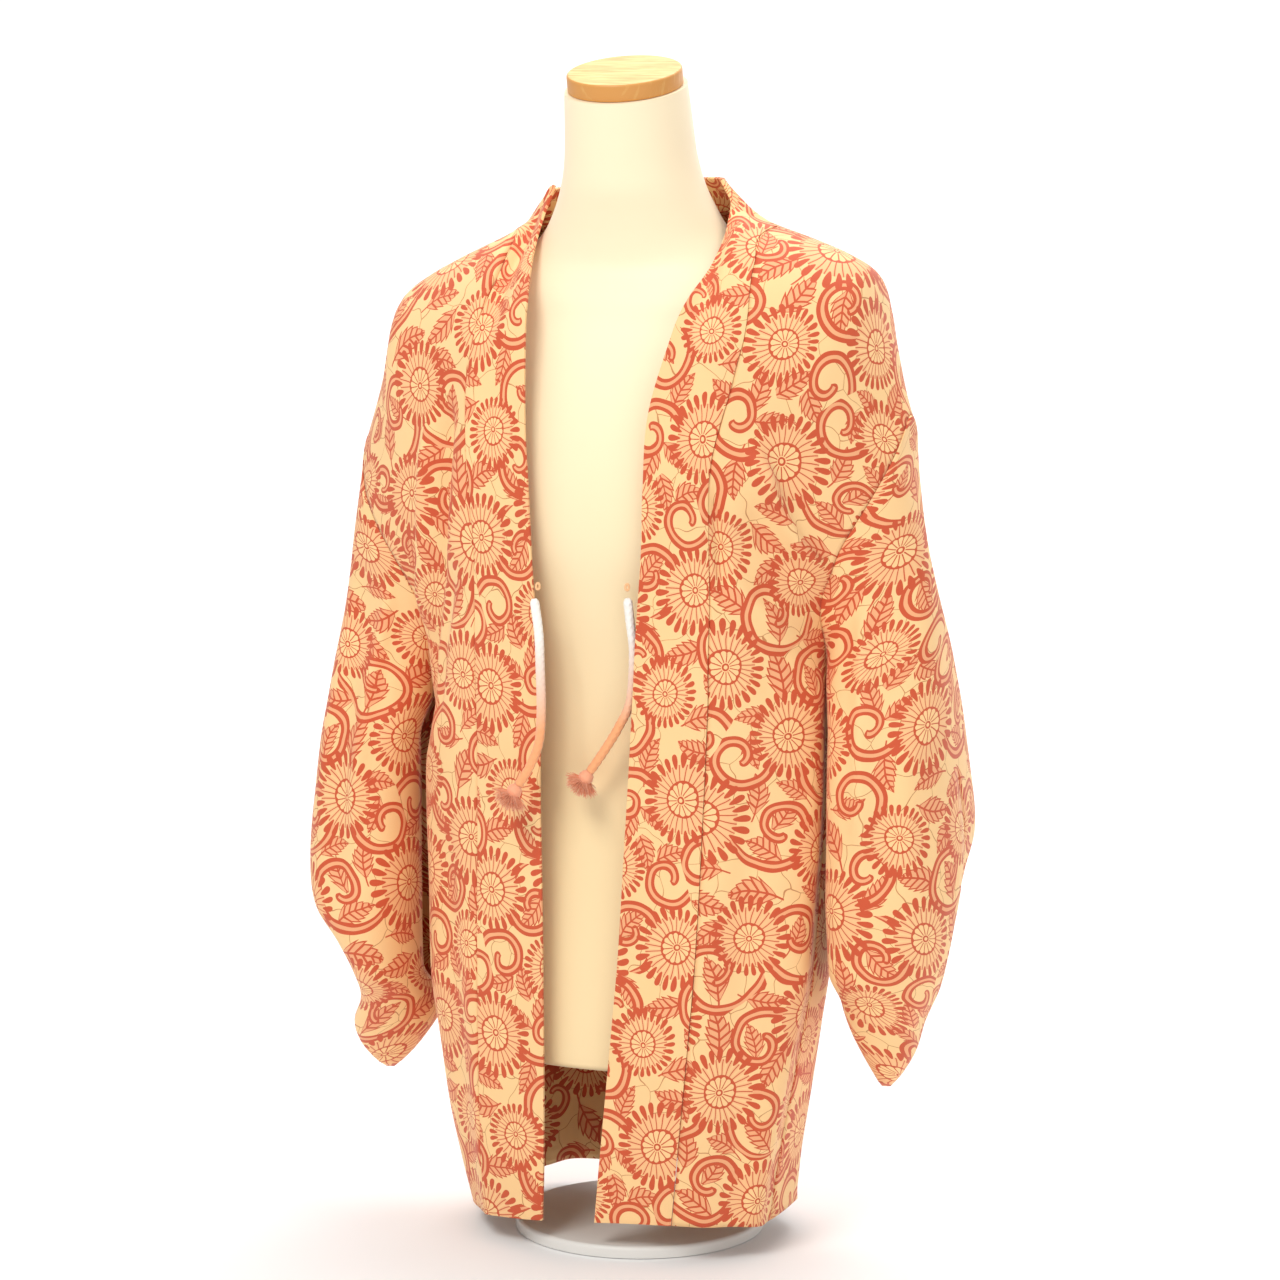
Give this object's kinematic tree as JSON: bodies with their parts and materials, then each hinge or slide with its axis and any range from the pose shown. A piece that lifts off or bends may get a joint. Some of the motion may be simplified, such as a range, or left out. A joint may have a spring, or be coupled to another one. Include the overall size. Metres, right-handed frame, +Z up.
{
  "type": "haori jacket on a limbless dress form with a stand",
  "caption": "Hip-length silk haori with an all-over flower and scroll print and short tie cords, open at the front, on a limbless torso form on a round stand.",
  "frame": {"origin": "centre of the underside of the stand's round base", "axes": "+Z up along the pole, -Y the way the jacket's open front faces, +X towards the wearer's left"},
  "size_m": [0.566, 0.2818, 0.9814],
  "materials": {
    "silk": "printed silk crepe, matt with a soft sheen",
    "silk_collar": "the same printed silk, folded double",
    "satin": "smooth ivory cover cloth",
    "pale_wood": "clear satin lacquer",
    "white_metal": "smooth white powder coat",
    "braid": "silk braid, white fading to coral",
    "tassel_silk": "loose silk strands"
  },
  "bodies": {
    "root": {"front_right": "silk", "front_left": "silk", "back_right": "silk", "back_left": "silk", "gusset_right": "silk", "gusset_left": "silk", "sleeve_front_right": "silk", "sleeve_front_left": "silk", "sleeve_back_right": "silk", "sleeve_back_left": "silk", "collar_right": "silk_collar", "collar_left": "silk_collar", "collar_back": "silk_collar", "loop_right": "silk_collar", "loop_left": "silk_collar", "cord_right": "braid", "cord_left": "braid", "tassel_right": "tassel_silk", "tassel_left": "tassel_silk", "form_torso": "satin", "form_neck_cap": "pale_wood", "stand_pole": "white_metal", "stand_base": "white_metal"}
  },
  "joints": []
}
